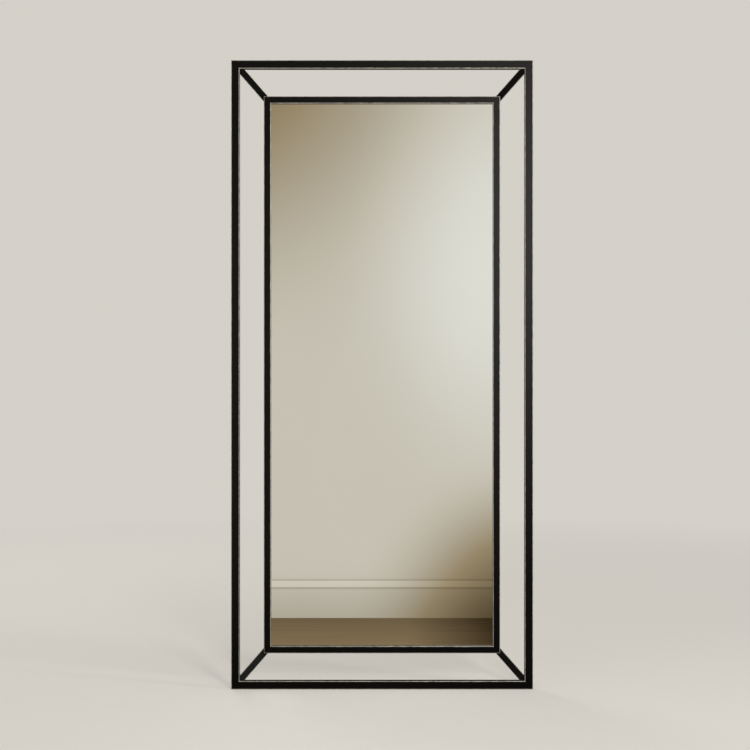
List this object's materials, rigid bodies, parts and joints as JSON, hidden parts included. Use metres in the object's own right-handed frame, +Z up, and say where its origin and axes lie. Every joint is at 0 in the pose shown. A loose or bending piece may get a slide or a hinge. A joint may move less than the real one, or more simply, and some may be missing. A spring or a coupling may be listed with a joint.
{
  "type": "wall mirror",
  "caption": "Tall rectangular mirror in an open double frame of black steel: a tube outer frame, diagonal corner struts, a recessed inner frame and swinging hanging rings.",
  "frame": {"origin": "on the underside of the lower rail's level, at the middle of the overall width and depth", "axes": "+X to the viewer's right, +Y from the face towards the wall, +Z up"},
  "size_m": [0.9144, 0.1046, 1.905],
  "materials": {
    "black_powder_coat": "satin black powder coat",
    "silvered_glass": "clear float glass silvered on its rear face",
    "backing_board": "plain medium density fibreboard",
    "foam_tape": "black foam glazing tape",
    "black_rubber": "matt moulded rubber",
    "zinc_plated_steel": "bright zinc plate",
    "black_screws": "black finished steel screws"
  },
  "bodies": {
    "frame": {"outer_top_rail": "black_powder_coat", "outer_bottom_rail": "black_powder_coat", "outer_left_stile": "black_powder_coat", "outer_right_stile": "black_powder_coat", "inner_top_rail": "black_powder_coat", "inner_bottom_rail": "black_powder_coat", "inner_left_stile": "black_powder_coat", "inner_right_stile": "black_powder_coat", "corner_strut_top_left": "black_powder_coat", "corner_strut_top_right": "black_powder_coat", "corner_strut_bottom_left": "black_powder_coat", "corner_strut_bottom_right": "black_powder_coat", "mirror_plate": "silvered_glass", "back_panel": "backing_board", "top_glazing_tape": "foam_tape", "bottom_glazing_tape": "foam_tape", "left_glazing_tape": "foam_tape", "right_glazing_tape": "foam_tape", "left_setting_block": "black_rubber", "right_setting_block": "black_rubber", "upper_left_bumper": "black_rubber", "upper_right_bumper": "black_rubber", "lower_left_bumper": "black_rubber", "lower_right_bumper": "black_rubber", "left_hanger_strap": "zinc_plated_steel", "right_hanger_strap": "zinc_plated_steel", "left_hanger_screws": "zinc_plated_steel", "right_hanger_screws": "zinc_plated_steel", "bumper_screws": "zinc_plated_steel", "panel_screws": "black_screws"},
    "left_ring": {"left_hanging_ring": "zinc_plated_steel"},
    "right_ring": {"right_hanging_ring": "zinc_plated_steel"}
  },
  "joints": [
    {"name": "left_ring_swing", "type": "hinge", "parent": "frame", "child": "left_ring", "pos_m": [-0.28, 0.0485, 1.4929], "axis": [-1, 0, 0], "range_deg": [0, 178]},
    {"name": "right_ring_swing", "type": "hinge", "parent": "frame", "child": "right_ring", "pos_m": [0.28, 0.0485, 1.4929], "axis": [-1, 0, 0], "range_deg": [0, 178]}
  ]
}
